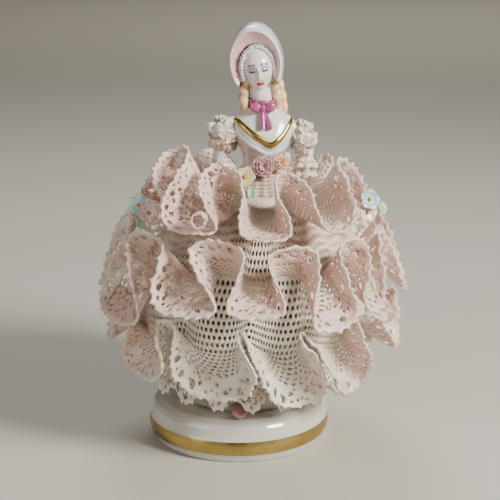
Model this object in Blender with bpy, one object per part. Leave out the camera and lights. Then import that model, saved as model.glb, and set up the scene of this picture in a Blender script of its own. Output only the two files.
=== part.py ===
# Porcelain lady in a ball-shaped dress of stiffened lace flounces, on a low round base.
# Lengths are in millimetres until a mesh is finished, then in metres. +Z is up and the
# lady faces -Y. The origin is the centre of the base's underside. An azimuth is measured
# in degrees about the dress, 0 towards -Y and growing towards +X.

import math

import bmesh
import bpy
from mathutils import Matrix, Vector

# Driving dimensions
MM = 0.001
SEAT_GAP = 0.3
SEAT_SPACE = 0.35
LACE_WALL = 1.0
SHARP_EDGE = math.radians(40)

BASE_FOOT_RADIUS = 30.9
BASE_BAND_RADIUS = 32.2
BASE_BAND_LOW = 3.0
BASE_BAND_HIGH = 8.0
BASE_SHOULDER_RADIUS = 31.4
BASE_SHOULDER_HEIGHT = 11.2
BASE_SEAT_RADIUS = 23.0
BASE_SEAT_HEIGHT = 15.2
BASE_SIDES = 40

DRESS_AXIS_X = 4.9
DRESS_CENTRE_HEIGHT = 58.4
DRESS_RADIUS = 54.6
DRESS_REACH_UP = 52.0
DRESS_REACH_DOWN = 48.5
DRESS_SHOULDER_POWER = 2.5

FORM_FOOT_X = 1.5
FORM_WAIST_X = 8.8
WAIST_HEIGHT = 100.0
BODY_SIDES = 26

HEAD_CENTRE = (7.0, -0.6, 132.6)
HEAD_HALF = (5.6, 6.3, 8.0)
HEAD_TILT = math.radians(-8)
HAIR_HALF = (6.4, 6.6, 8.1)
NECK_RADIUS = 3.4
NECK_FOOT = (8.9, 0.3, 114.0)
NECK_TOP = (7.7, -0.2, 128.0)

# Heights with the half widths across and front to back of the skirt form and bodice
BODY_SECTIONS = (
    (15.5, 22.0, 22.0),
    (20.0, 24.4, 24.4),
    (25.0, 26.8, 26.8),
    (31.0, 31.2, 31.2),
    (38.0, 36.0, 36.0),
    (46.0, 39.4, 39.4),
    (54.0, 40.4, 40.4),
    (62.0, 39.4, 39.4),
    (70.0, 36.2, 36.2),
    (77.0, 31.4, 31.4),
    (83.0, 24.8, 24.8),
    (88.0, 17.6, 17.6),
    (94.0, 11.4, 11.4),
    (97.4, 8.4, 8.0),
    (100.0, 7.3, 6.4),
    (104.0, 8.0, 7.2),
    (108.0, 9.7, 8.0),
    (112.0, 11.0, 7.4),
    (114.5, 10.4, 6.2),
    (116.6, 9.0, 5.2),
    (118.0, 7.0, 4.4),
)

# Turning points of each flounce's free edge: azimuth, height, reach of the curl each
# way in degrees, and how far it stands proud of the dress's round outline
UPPER_TURNS = (
    (-56, 90.5, 38, -3),
    (-60, 108, 40, 8),
    (-24, 85.5, 33, 1),
    (-21, 104.5, 33, 0),
    (5, 84, 25, 1),
    (19, 102.5, 21, 0),
    (35, 85, 17, 1),
    (60, 104.5, 19, 6),
    (70, 90, 12, -3),
)
MIDDLE_TURNS = (
    (-74, 84, 24, -6),
    (-57, 51, 40, 2),
    (-48, 83.5, 30, -2),
    (-23, 59, 33, 2),
    (-15, 83.5, 31, -3),
    (1, 60, 27, 2),
    (15.5, 81.5, 27, -3),
    (30, 53, 25, 1),
    (43, 81.5, 22, -3),
    (47, 57, 16, 1),
    (68, 80, 14, -4),
)
LOWER_TURNS = (
    (-84, 37, 14, 3),
    (-60, 50.5, 18, -3),
    (-55, 30, 34, 3),
    (-34, 56.5, 14, -3),
    (-16, 26, 36, 1),
    (-5, 55, 7, -3),
    (26, 21, 28, 1),
    (17, 54, 6, -3),
    (56, 23, 22, 4),
    (46, 55, 16, -3),
    (78, 36, 14, 4),
)
BACK_CURL = 1.1
HEM_WAVES = 16
HEM_CREST = 22.5
HEM_TROUGH = 18.6
HEM_CURL = 7

# Arms as points across from the waist, forward and up, with their thickness
ARM_POINTS = (
    (9.0, 0.4, 112.6),
    (14.4, 0.6, 106.0),
    (14.6, 0.4, 100.0),
    (13.6, -0.6, 95.0),
    (12.4, -1.8, 91.2),
)
ARM_RADII = (2.9, 2.5, 2.1, 1.7, 1.4)

RINGLETS = (
    ((2.6, 0.4, 131.0), (2.0, 0.0, 124.5), (2.5, -0.6, 117.6)),
    ((3.6, 2.6, 130.0), (2.6, 2.6, 123.5), (2.3, 2.0, 117.6)),
    ((12.2, 0.8, 131.5), (13.6, 0.4, 124.5), (14.2, -0.4, 117.4)),
    ((13.4, 2.6, 130.5), (15.0, 2.4, 124.0), (16.2, 1.2, 117.0)),
)
RINGLET_RADII = (1.3, 1.5, 1.4)

SHOE_CENTRE = (0.7, -25.2, 17.5)
SHOE_HALF = (3.2, 4.8, 2.1)
SHOE_TILT = math.radians(10)

# Bonnet sections from mouth to crown: depth, half width and half height
BONNET_CENTRE = (6.4, 0.0, 134.8)
BONNET_LEAN = math.radians(-7)
BONNET_YAW = math.radians(-6)
BONNET_SECTIONS = (
    (-4.6, 8.5, 11.0),
    (-4.2, 9.0, 11.6),
    (-1.0, 9.1, 12.9),
    (3.5, 9.0, 13.2),
    (7.0, 7.2, 11.0),
    (9.2, 4.0, 7.0),
)
BONNET_MOUTH = ((-6.5, 9.4, 12.2), (-3.6, 7.4, 9.9), (1.0, 5.6, 8.0))
BONNET_THROAT = ((-12.0, 5.4, 8.0), (3.0, 5.4, 8.0))
THROAT_DROP = -6.0
BONNET_LOW_EDGE = -7.0

CHOKER_LOW = (8.45, 0.0, 118.6)
CHOKER_HIGH = (8.25, -0.1, 121.8)
CHOKER_RADII = (4.3, 4.2)
BOW_KNOT = (8.5, -5.5, 119.7)
BOW_KNOT_HALF = (1.0, 1.3, 1.2)
BOW_LOBE_OUT = 2.3
BOW_LOBE_HALF = (2.2, 1.1, 2.0)
BOW_TAIL_LEANS = (-0.2, 2.4)
BOW_TAIL_RADII = (0.7, 0.8, 1.0)

# Sleeves: side, lift of the whole sleeve, and rings along it as share, radius and frill
SLEEVES = {"left_sleeve": (-1, 1.6), "right_sleeve": (1, 0.4)}
SLEEVE_SHOULDER = (10.6, 0.5, 112.2)
SLEEVE_OPENING = (14.8, 0.2, 105.4)
SLEEVE_RINGS = ((0.0, 3.9, 0.0), (0.35, 5.2, 0.1), (1.0, 4.8, 0.5))
SLEEVE_COLUMNS = 18
SLEEVE_FRILLS = 6

# Rings of an open flower: lift, share of its radius and depth of the notches
FLOWER_RINGS = ((-0.2, 0.95, 0.16), (0.5, 1.0, 0.16), (0.3, 0.4, 0.0), (0.9, 0.2, 0.0))
PETALS = 5

# Waist flowers: centre, direction faced, radius, depth behind the petals, glaze
WAIST_FLOWERS = {
    "mauve_rose": ((8.2, -9.4, 99.4), (0, -1, 0.25), 3.4, 2.2, "mauve"),
    "peach_rose": ((14.2, -8.2, 101.0), (0.3, -1, 0.2), 2.7, 2.6, "peach"),
    "yellow_flower": ((2.4, -11.1, 96.8), (-0.2, -1, 0.5), 3.6, 1.3, "yellow"),
}
WAIST_LEAF = ((4.6, -14.4, 91.6), (0, -1, 0.5), 3.6, 2.6)

# Hip flowers: azimuth, height and distance from the axis, azimuth faced, radius
HIP_FLOWERS = {
    "left_hip_flower": (-65, 88.0, 44.0, -52, 4.0),
    "right_hip_flower": (68, 89.4, 45.1, 46, 4.0),
    "right_hip_bloom": (78.5, 88.6, 43.1, 66, 2.8),
}
HIP_FLOWER_RISE = 0.4
HIP_FLOWER_DEPTH = 1.3

# Hip leaves: azimuth, height and distance from the axis, azimuth faced, length, width
HIP_LEAVES = {
    "left_hip_leaf": (-64, 84.0, 44.0, -60, 4.6, 3.4),
    "right_hip_leaf": (79, 83.7, 44.6, 66, 4.8, 3.4),
}
HIP_LEAF_RISE = 0.5

# Rolled curl: where it sits on the upper flounce, how it stands off, and its size
CURL_PLACE = 2.08
CURL_OUT = 0.92
CURL_OFFSET = (-2.0, 0, 4.35)
CURL_ALONG = (-0.1, -1, 0.1)
CURL_RADIUS = 2.7
CURL_LENGTH = 5.0
CURL_SIDES = 16

# Colour as red, green and blue with roughness
GLAZES = {
    "white": ("glazed_white", (0.80, 0.79, 0.75), 0.12),
    "bonnet": ("bonnet_glaze", (0.62, 0.63, 0.66), 0.15),
    "lace": ("lace_pink_white", (0.74, 0.64, 0.58), 0.35),
    "mauve": ("mauve_glaze", (0.45, 0.22, 0.28), 0.2),
    "peach": ("peach_glaze", (0.75, 0.45, 0.30), 0.25),
    "yellow": ("yellow_glaze", (0.78, 0.62, 0.25), 0.25),
    "blue": ("blue_glaze", (0.45, 0.68, 0.70), 0.25),
    "green": ("green_glaze", (0.22, 0.45, 0.28), 0.25),
}


def clear_scene():
    for item in list(bpy.data.objects):
        bpy.data.objects.remove(item, do_unlink=True)


def material(name, colour, roughness):
    made = bpy.data.materials.new(name)
    made.use_nodes = True
    shader = made.node_tree.nodes["Principled BSDF"]
    shader.inputs["Base Color"].default_value = (*colour, 1.0)
    shader.inputs["Roughness"].default_value = roughness
    return made


def add_object(name, shape, look):
    """Turn a bmesh in millimetres into an object in metres."""
    bmesh.ops.scale(shape, vec=(MM, MM, MM), verts=shape.verts)
    bmesh.ops.recalc_face_normals(shape, faces=shape.faces)
    mesh = bpy.data.meshes.new(name)
    shape.to_mesh(mesh)
    shape.free()
    mesh.shade_smooth()
    mesh.set_sharp_from_angle(angle=SHARP_EDGE)
    mesh.materials.append(look)
    item = bpy.data.objects.new(name, mesh)
    bpy.context.collection.objects.link(item)
    return item


def add_cutter(name, shape):
    cutter = add_object(name, shape, bpy.data.materials["glazed_white"])
    cutter.hide_render = True
    cutter.display_type = "WIRE"
    return cutter


def boolean(item, other, operation):
    change = item.modifiers.new(operation.lower(), "BOOLEAN")
    change.operation = operation
    change.solver = "EXACT"
    change.object = other


def loft(rings):
    """Closed solid through rings of equally many points, with flat ends."""
    shape = bmesh.new()
    loops = [[shape.verts.new(point) for point in ring] for ring in rings]
    for low, high in zip(loops, loops[1:]):
        for side in range(len(low)):
            after = (side + 1) % len(low)
            shape.faces.new((low[side], low[after], high[after], high[side]))
    shape.faces.new(list(reversed(loops[0])))
    shape.faces.new(loops[-1])
    return shape


def ellipse_ring(centre, half_x, half_y, sides):
    steps = [2 * math.pi * side / sides for side in range(sides)]
    x, y, z = centre
    return [(x + half_x * math.cos(a), y + half_y * math.sin(a), z) for a in steps]


def ball(centre, half, turn=Matrix.Identity(3), segments=16, rings=10):
    """Ellipsoid with the given half sizes, turned about its centre."""
    shape = bmesh.new()
    bmesh.ops.create_uvsphere(shape, u_segments=segments, v_segments=rings, radius=1.0)
    sized = turn.to_4x4() @ Matrix.Diagonal((*half, 1.0))
    bmesh.ops.transform(shape, matrix=Matrix.Translation(centre) @ sized, verts=shape.verts)
    return shape


def tube(points, radii, grow=0.0, sides=8):
    """Tapered round limb along a short run of points, swollen all over by grow."""
    rings = []
    places = [Vector(point) for point in points]
    places[0] += grow * (places[0] - places[1]).normalized()
    places[-1] += grow * (places[-1] - places[-2]).normalized()
    for index, place in enumerate(places):
        before = places[max(index - 1, 0)]
        after = places[min(index + 1, len(places) - 1)]
        along = (after - before).normalized()
        across = along.cross(Vector((0, 1, 0))).normalized()
        over = across.cross(along)
        steps = [2 * math.pi * side / sides for side in range(sides)]
        radius = radii[index] + grow
        rings.append([place + radius * (math.cos(a) * across + math.sin(a) * over) for a in steps])
    return loft(rings)


def form_axis_x(height):
    """The skirt form leans: its axis moves from foot to waist."""
    share = min(max((height - BODY_SECTIONS[0][0]) / (WAIST_HEIGHT - BODY_SECTIONS[0][0]), 0), 1)
    return FORM_FOOT_X + (FORM_WAIST_X - FORM_FOOT_X) * share


def form_radius(height):
    """Radius of the skirt form at a height below the waist."""
    for low, high in zip(BODY_SECTIONS, BODY_SECTIONS[1:]):
        if height <= high[0]:
            share = (height - low[0]) / (high[0] - low[0])
            return low[1] + (high[1] - low[1]) * share
    return BODY_SECTIONS[-1][1]


def body_shape(grow=0.0):
    rings = []
    for height, half_x, half_y in BODY_SECTIONS:
        centre = (form_axis_x(height), 0, height)
        rings.append(ellipse_ring(centre, half_x + grow, half_y + grow, BODY_SIDES))
    return loft(rings)


def dress_radius(height):
    """Round outline of the whole dress, fuller at the shoulder than a plain ball."""
    rise = height - DRESS_CENTRE_HEIGHT
    if rise > 0:
        return DRESS_RADIUS * math.sqrt(max(1 - (rise / DRESS_REACH_UP) ** DRESS_SHOULDER_POWER, 0))
    return DRESS_RADIUS * math.sqrt(max(1 - (rise / DRESS_REACH_DOWN) ** 2, 0))


def with_back(front, crest, trough, steps):
    """Close a row of turning points with even waves round the back.

    Crest and trough each give a height and how far they stand proud.
    """
    first = front[0]
    last = front[-1]
    span = first[0] + 360 - last[0]
    last_is_crest = last[1] > front[-2][1]
    reach = BACK_CURL * span / steps
    turns = list(front)
    for step in range(1, steps):
        is_crest = last_is_crest == (step % 2 == 0)
        height, push = crest if is_crest else trough
        turns.append((last[0] + span * step / steps, height, reach, push))
    return turns


def hem_turns():
    turns = []
    for step in range(2 * HEM_WAVES):
        height = HEM_CREST if step % 2 else HEM_TROUGH
        turns.append((360 * step / (2 * HEM_WAVES), height, HEM_CURL, 0))
    return turns


def edge_point(turns, place):
    """Azimuth, height and push of the free edge; whole places are turning points."""
    index = int(math.floor(place))
    t = place - index
    count = len(turns)
    start = turns[index % count]
    end = turns[(index + 1) % count]
    start_azimuth = start[0] + 360 * (index // count)
    end_azimuth = end[0] + 360 * ((index + 1) // count)
    early = (1 - t) ** 3 + 3 * t * (1 - t) ** 2
    late = 1 - early
    azimuth = start_azimuth * early + end_azimuth * late
    azimuth += start[2] * 3 * t * (1 - t) ** 2 - end[2] * 3 * t * t * (1 - t)
    return azimuth, start[1] * early + end[1] * late, start[3] * early + end[3] * late


def joint_azimuth(turns, place):
    """Azimuth where the gathered cloth meets the skirt form, evened out between turns."""
    index = int(math.floor(place))
    t = place - index
    count = len(turns)

    def evened(number):
        near = [turns[k % count][0] + 360 * (k // count) for k in (number - 1, number, number + 1)]
        return (near[0] + 2 * near[1] + near[2]) / 4

    return evened(index) * (1 - t) + evened(index + 1) * t


def flounce_point(flounce, place, out):
    """Point of a flounce: place runs round it, out from the form (0) to the free edge (1)."""
    turns = flounce["turns"]
    joint = flounce["joint"]
    edge_azimuth, edge_height, push = edge_point(turns, place)
    gather = flounce["gather"] + (1 - flounce["gather"]) * out
    start_azimuth = joint_azimuth(turns, place)
    azimuth = math.radians(start_azimuth + (edge_azimuth - start_azimuth) * gather)
    middle = (max(turn[1] for turn in turns) + min(turn[1] for turn in turns)) / 2
    start_height = joint + flounce["gather"] * 0.5 * (edge_height - middle)
    height = start_height + (edge_height - start_height) * out
    start_radius = form_radius(start_height) + flounce["clearance"]
    edge_radius = flounce["radius"](edge_height, edge_azimuth) + push
    radius = start_radius + (edge_radius - start_radius) * out
    axis = form_axis_x(start_height) * (1 - out) + DRESS_AXIS_X * out
    return Vector((axis + radius * math.sin(azimuth), -radius * math.cos(azimuth), height))


def ball_outline(height, azimuth):
    return dress_radius(height)


def hem_outline(height, azimuth):
    return 31.0 + 8.0 * math.sin(math.radians(azimuth - 10) / 2) ** 2


FLOUNCES = {
    "upper_flounce": {
        "turns": with_back(UPPER_TURNS, (98.5, -4), (87, -8), 12),
        "joint": 86.0, "clearance": 1.6, "gather": 0.2, "radius": ball_outline, "columns": 4, "rows": 2,
    },
    "middle_flounce": {
        "turns": with_back(MIDDLE_TURNS, (80, -5), (56, 0), 14),
        "joint": 68.0, "clearance": 1.0, "gather": 0.2, "radius": ball_outline, "columns": 4, "rows": 2,
    },
    "lower_flounce": {
        "turns": with_back(LOWER_TURNS, (53, -3), (29, 2), 12),
        "joint": 44.0, "clearance": 1.0, "gather": 0.28, "radius": ball_outline, "columns": 4, "rows": 2,
    },
    "hem_flounce": {
        "turns": hem_turns(),
        "joint": 27.0, "clearance": 1.0, "gather": 0.2, "radius": hem_outline, "columns": 3, "rows": 1,
    },
}


def make_flounce(name, look):
    flounce = FLOUNCES[name]
    columns = len(flounce["turns"]) * flounce["columns"]
    rows = flounce["rows"]
    shape = bmesh.new()
    lines = []
    for row in range(rows + 1):
        line = []
        for column in range(columns):
            place = column / flounce["columns"]
            line.append(shape.verts.new(flounce_point(flounce, place, row / rows)))
        lines.append(line)
    for inner, outer in zip(lines, lines[1:]):
        for column in range(columns):
            after = (column + 1) % columns
            shape.faces.new((inner[column], outer[column], outer[after], inner[after]))
    cloth = add_object(name, shape, look)
    wall = cloth.modifiers.new("wall", "SOLIDIFY")
    wall.thickness = LACE_WALL * MM
    wall.offset = 0.0
    return cloth


def make_base(look):
    """Low turned base: foot, gilt band, rounded shoulder and a gently domed top."""
    outline = [(BASE_FOOT_RADIUS, 0.0), (BASE_BAND_RADIUS - 0.2, BASE_BAND_LOW)]
    outline.append((BASE_BAND_RADIUS + 0.2, (BASE_BAND_LOW + BASE_BAND_HIGH) / 2))
    outline.append((BASE_BAND_RADIUS, BASE_BAND_HIGH))
    across = BASE_SHOULDER_RADIUS - BASE_SEAT_RADIUS
    rise = BASE_SEAT_HEIGHT - BASE_SHOULDER_HEIGHT
    for step in range(5):
        turn = math.pi / 2 * step / 4
        outline.append((BASE_SEAT_RADIUS + across * math.cos(turn) ** 0.75,
                        BASE_SHOULDER_HEIGHT + rise * math.sin(turn)))
    rings = [ellipse_ring((0, 0, z), r, r, BASE_SIDES) for r, z in outline]
    return add_object("base", loft(rings), look)


def head_turn():
    return Matrix.Rotation(HEAD_TILT, 3, "Y")


def head_shape(grow=0.0):
    """Egg-shaped head, narrower towards the chin."""
    shape = bmesh.new()
    bmesh.ops.create_uvsphere(shape, u_segments=16, v_segments=11, radius=1.0)
    for vertex in shape.verts:
        narrowing = 1 - 0.24 * max(-vertex.co.z, 0) ** 1.5
        vertex.co.x *= narrowing
        vertex.co.y *= narrowing
    sized = Matrix.Diagonal([half + grow for half in HEAD_HALF] + [1.0])
    place = Matrix.Translation(HEAD_CENTRE) @ head_turn().to_4x4()
    bmesh.ops.transform(shape, matrix=place @ sized, verts=shape.verts)
    return shape


def hair_shape(grow=0.0):
    centre = Vector(HEAD_CENTRE) + head_turn() @ Vector((0, 1.7, 0.8))
    return ball(centre, [half + grow for half in HAIR_HALF], head_turn(), 16, 11)


def ringlet_shapes(grow=0.0):
    return [tube(points, RINGLET_RADII, grow) for points in RINGLETS]


def arm_shapes():
    """Arms that hang from the shoulders with the hands on the top of the skirt."""
    shapes = []
    for side in (-1, 1):
        points = [(FORM_WAIST_X + side * across, front, height) for across, front, height in ARM_POINTS]
        shapes.append(tube(points, ARM_RADII))
    return shapes


def shoe_shape():
    tilt = Matrix.Rotation(SHOE_TILT, 3, "X")
    return ball(SHOE_CENTRE, SHOE_HALF, tilt, 12, 8)


def make_figure(look):
    """The cast figure: skirt form, bodice, arms, neck, head, hair and one shoe toe."""
    figure = add_object("figure", body_shape(), look)
    neck = loft([ellipse_ring(NECK_FOOT, NECK_RADIUS + 0.8, NECK_RADIUS + 0.6, 14),
                 ellipse_ring((8.4, 0.0, 120.0), NECK_RADIUS, NECK_RADIUS, 14),
                 ellipse_ring(NECK_TOP, NECK_RADIUS, NECK_RADIUS, 14)])
    pieces = [neck, head_shape(), hair_shape(), shoe_shape()] + arm_shapes() + ringlet_shapes()
    for number, piece in enumerate(pieces):
        boolean(figure, add_cutter("figure_join_%d" % number, piece), "UNION")
    return figure


def make_bonnet(look):
    """Deep bonnet round the back of the head, open at the face and below the ears."""
    def section(depth, half_x, half_z, drop=0.0, sides=24):
        steps = [2 * math.pi * side / sides for side in range(sides)]
        return [place @ Vector((half_x * math.cos(a), depth, drop + half_z * math.sin(a))) for a in steps]

    place = Matrix.Translation(BONNET_CENTRE) @ Matrix.Rotation(BONNET_LEAN, 4, "Y")
    place = place @ Matrix.Rotation(BONNET_YAW, 4, "Z")
    bonnet = add_object("bonnet", loft([section(*row) for row in BONNET_SECTIONS]), look)
    mouth = loft([section(*row) for row in BONNET_MOUTH])
    boolean(bonnet, add_cutter("bonnet_mouth", mouth), "DIFFERENCE")
    corners = ((-12, -12), (12, -12), (12, 14), (-12, 14))
    heights = (BONNET_LOW_EDGE - 13, BONNET_LOW_EDGE)
    below = loft([[place @ Vector((x, y, z)) for x, y in corners] for z in heights])
    boolean(bonnet, add_cutter("bonnet_below", below), "DIFFERENCE")
    throat = loft([section(*row, THROAT_DROP) for row in BONNET_THROAT])
    boolean(bonnet, add_cutter("bonnet_throat", throat), "DIFFERENCE")
    cavities = [head_shape(SEAT_SPACE), hair_shape(SEAT_SPACE)] + ringlet_shapes(SEAT_SPACE)
    for number, cavity in enumerate(cavities):
        boolean(bonnet, add_cutter("bonnet_cavity_%d" % number, cavity), "DIFFERENCE")
    return bonnet


def make_choker(look):
    """Ribbon round the neck with a two-lobed bow and two hanging tails."""
    low, high = CHOKER_RADII
    band = loft([ellipse_ring(CHOKER_LOW, low, low, 16), ellipse_ring(CHOKER_HIGH, high, high, 16)])
    choker = add_object("choker_bow", band, look)
    middle = Vector(BOW_KNOT)
    lobes = []
    for side in (-1, 1):
        lobe = middle + Vector((side * BOW_LOBE_OUT, 0.2, 0.2))
        lobes.append(ball(lobe, BOW_LOBE_HALF, segments=8, rings=6))
    knot = ball(BOW_KNOT, BOW_KNOT_HALF, segments=8, rings=6)
    tails = []
    for lean in BOW_TAIL_LEANS:
        drop = ((0, -0.4, -0.5), (lean * 0.6, -1.1, -3.3), (lean + 0.1, -2.7, -6.7))
        tails.append(tube([middle + Vector(step) for step in drop], BOW_TAIL_RADII, sides=6))
    for number, piece in enumerate(lobes + [knot] + tails):
        boolean(choker, add_cutter("bow_join_%d" % number, piece), "UNION")
    gap = SEAT_GAP + 0.1
    bore = loft([ellipse_ring((8.6, 0.1, 116.0), NECK_RADIUS + gap + 0.3, NECK_RADIUS + gap + 0.2, 16),
                 ellipse_ring((8.4, 0.0, 120.0), NECK_RADIUS + gap, NECK_RADIUS + gap, 16),
                 ellipse_ring((8.0, -0.1, 124.5), NECK_RADIUS + gap, NECK_RADIUS + gap, 16)])
    boolean(choker, add_cutter("choker_bore", bore), "DIFFERENCE")
    for number, piece in enumerate([body_shape(gap)] + ringlet_shapes(gap)):
        boolean(choker, add_cutter("choker_seat_%d" % number, piece), "DIFFERENCE")
    return choker


def make_sleeve(name, look):
    """Flared lace sleeve: a frilled shell round the upper arm."""
    side, lift = SLEEVES[name]
    shoulder, opening = [Vector((FORM_WAIST_X + side * across, front, height + lift))
                         for across, front, height in (SLEEVE_SHOULDER, SLEEVE_OPENING)]
    along = (opening - shoulder).normalized()
    across = along.cross(Vector((0, 1, 0))).normalized()
    over = across.cross(along)
    rings = []
    for share, radius, frill in SLEEVE_RINGS:
        ring = []
        centre = shoulder.lerp(opening, share)
        for column in range(SLEEVE_COLUMNS):
            a = 2 * math.pi * column / SLEEVE_COLUMNS
            reach = radius + frill * math.cos(SLEEVE_FRILLS * a)
            ring.append(centre + reach * (math.cos(a) * across + math.sin(a) * over))
        rings.append(ring)
    shape = bmesh.new()
    lines = [[shape.verts.new(point) for point in ring] for ring in rings]
    for inner, outer in zip(lines, lines[1:]):
        for column in range(SLEEVE_COLUMNS):
            after = (column + 1) % SLEEVE_COLUMNS
            shape.faces.new((inner[column], outer[column], outer[after], inner[after]))
    sleeve = add_object(name, shape, look)
    wall = sleeve.modifiers.new("wall", "SOLIDIFY")
    wall.thickness = LACE_WALL * MM
    wall.offset = 0.0
    boolean(sleeve, add_cutter(name + "_body", body_shape(SEAT_SPACE)), "DIFFERENCE")
    return sleeve


def facing(outward):
    """Rotation that turns +Z to the outward direction."""
    return outward.to_track_quat("Z", "Y").to_matrix()


def make_flower(name, centre, outward, radius, depth, look):
    """Open flower: a shallow cup of round petals with a raised middle."""
    turn = facing(Vector(outward).normalized())
    sides = PETALS * 3
    rings = []
    for lift, share, cut in ((-depth, 0.25, 0.0),) + FLOWER_RINGS:
        ring = []
        for side in range(sides):
            a = 2 * math.pi * side / sides
            reach = radius * share * (1 - cut * (1 - abs(math.cos(PETALS * a / 2))))
            ring.append(Vector(centre) + turn @ Vector((reach * math.cos(a), reach * math.sin(a), lift)))
        rings.append(ring)
    return add_object(name, loft(rings), look)


def make_leaf(name, centre, outward, length, width, look):
    """Pointed leaf, slightly bowed."""
    turn = facing(Vector(outward).normalized())
    rings = []
    for share in (-1.0, -0.6, 0.0, 0.6, 1.0):
        half = width / 2 * math.sqrt(max(1 - share * share, 0.02))
        bow = -0.4 * share * share
        ring = [(half, share * length / 2, bow - 0.4), (0.0, share * length / 2, bow + 0.5),
                (-half, share * length / 2, bow - 0.4)]
        rings.append([Vector(centre) + turn @ Vector(point) for point in ring])
    return add_object(name, loft(rings), look)


def make_curl(look):
    """Short rolled tube of lace on the edge of the upper flounce."""
    centre = flounce_point(FLOUNCES["upper_flounce"], CURL_PLACE, CURL_OUT) + Vector(CURL_OFFSET)
    turn = facing(Vector(CURL_ALONG).normalized())
    inside = CURL_RADIUS - LACE_WALL
    half = CURL_LENGTH / 2
    shape = bmesh.new()
    lines = []
    for reach, end in ((CURL_RADIUS, -half), (CURL_RADIUS, half), (inside, half), (inside, -half)):
        steps = [2 * math.pi * side / CURL_SIDES for side in range(CURL_SIDES)]
        ring = [centre + turn @ Vector((reach * math.cos(a), reach * math.sin(a), end)) for a in steps]
        lines.append([shape.verts.new(point) for point in ring])
    for index in range(4):
        inner = lines[index]
        outer = lines[(index + 1) % 4]
        for side in range(CURL_SIDES):
            after = (side + 1) % CURL_SIDES
            shape.faces.new((inner[side], inner[after], outer[after], outer[side]))
    return add_object("lace_curl", shape, look)


def outward_at(azimuth, rise):
    a = math.radians(azimuth)
    return Vector((math.sin(a), -math.cos(a), rise))


def hip_place(azimuth, height, radius):
    """Point at a radius from the dress's axis."""
    outward = outward_at(azimuth, 0)
    return Vector((DRESS_AXIS_X, 0, height)) + radius * outward


def make_trimmings(looks):
    """Modelled flowers and leaves on the waist and the hips."""
    waist = []
    for name, (centre, outward, radius, depth, glaze) in WAIST_FLOWERS.items():
        waist.append(make_flower(name, centre, outward, radius, depth, looks[glaze]))
    waist.append(make_leaf("waist_leaf", *WAIST_LEAF, looks["green"]))
    for item in waist:
        boolean(item, add_cutter(item.name + "_seat", body_shape(SEAT_SPACE)), "DIFFERENCE")
    for name, (azimuth, height, distance, faced, radius) in HIP_FLOWERS.items():
        centre = hip_place(azimuth, height, distance)
        outward = outward_at(faced, HIP_FLOWER_RISE)
        make_flower(name, centre, outward, radius, HIP_FLOWER_DEPTH, looks["blue"])
    for name, (azimuth, height, distance, faced, length, width) in HIP_LEAVES.items():
        centre = hip_place(azimuth, height, distance)
        make_leaf(name, centre, outward_at(faced, HIP_LEAF_RISE), length, width, looks["green"])


def main():
    clear_scene()
    looks = {key: material(*facts) for key, facts in GLAZES.items()}
    make_base(looks["white"])
    make_figure(looks["white"])
    make_bonnet(looks["bonnet"])
    make_choker(looks["mauve"])
    for name in SLEEVES:
        make_sleeve(name, looks["lace"])
    for name in FLOUNCES:
        make_flounce(name, looks["lace"])
    make_trimmings(looks)
    make_curl(looks["lace"])


main()
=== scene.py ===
import bisect
import math
import random

import bmesh
import bpy
from mathutils import Matrix, Vector, noise


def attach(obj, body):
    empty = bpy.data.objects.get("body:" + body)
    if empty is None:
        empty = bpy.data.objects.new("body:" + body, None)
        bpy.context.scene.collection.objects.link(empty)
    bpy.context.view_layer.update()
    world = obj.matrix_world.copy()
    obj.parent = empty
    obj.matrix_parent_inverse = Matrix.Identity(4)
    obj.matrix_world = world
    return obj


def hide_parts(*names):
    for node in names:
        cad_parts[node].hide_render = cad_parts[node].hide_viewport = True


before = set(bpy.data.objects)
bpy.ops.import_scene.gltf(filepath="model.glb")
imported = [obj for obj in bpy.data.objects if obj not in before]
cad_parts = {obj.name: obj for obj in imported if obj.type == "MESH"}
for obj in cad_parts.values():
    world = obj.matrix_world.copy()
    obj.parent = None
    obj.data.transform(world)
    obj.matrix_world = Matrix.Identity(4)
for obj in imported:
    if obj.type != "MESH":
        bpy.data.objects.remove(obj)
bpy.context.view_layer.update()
print("frame loaded with", len(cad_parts), "nodes")

# Lengths are in millimetres until a piece is finished. An azimuth is in degrees about
# the dress, 0 towards the viewer and growing to the right.
mm = 0.001
noise.seed_set(3)  # otherwise the crumpled lace differs from run to run


# Small helpers

def hexColour(text):
    parts = [int(text[i:i + 2], 16) / 255 for i in (1, 3, 5)]
    return (*[p / 12.92 if p <= 0.04045 else ((p + 0.055) / 1.055) ** 2.4 for p in parts], 1.0)


def mix(a, b, share):
    return a + (b - a) * share


def ease(low, high, value):
    share = min(max((value - low) / (high - low), 0.0), 1.0)
    return share * share * (3 - 2 * share)


def hill(x, z, centreX, centreZ, spreadX, spreadZ):
    return math.exp(-((x - centreX) / spreadX) ** 2 - ((z - centreZ) / spreadZ) ** 2)


def smoothLine(points, share):
    # a smooth curve through points of any size, share 0 to 1
    place = min(max(share, 0.0), 1.0) * (len(points) - 1)
    i = min(int(place), len(points) - 2)
    t = place - i
    a, b, c, d = [points[min(max(k, 0), len(points) - 1)] for k in (i - 1, i, i + 1, i + 2)]
    result = []
    for p, q, r, s in zip(a, b, c, d):
        bend = 2 * p - 5 * q + 4 * r - s + t * (3 * (q - r) + s - p)
        result.append(q + 0.5 * t * (r - p + t * bend))
    return result


def atHeight(sections, height):
    # sections are (height, ...) rows, read with a smooth curve at a height
    if height <= sections[0][0]:
        return sections[0][1:]
    for i in range(len(sections) - 1):
        if height <= sections[i + 1][0]:
            t = (height - sections[i][0]) / (sections[i + 1][0] - sections[i][0])
            return smoothLine([s[1:] for s in sections], (i + t) / (len(sections) - 1))
    return sections[-1][1:]


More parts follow.
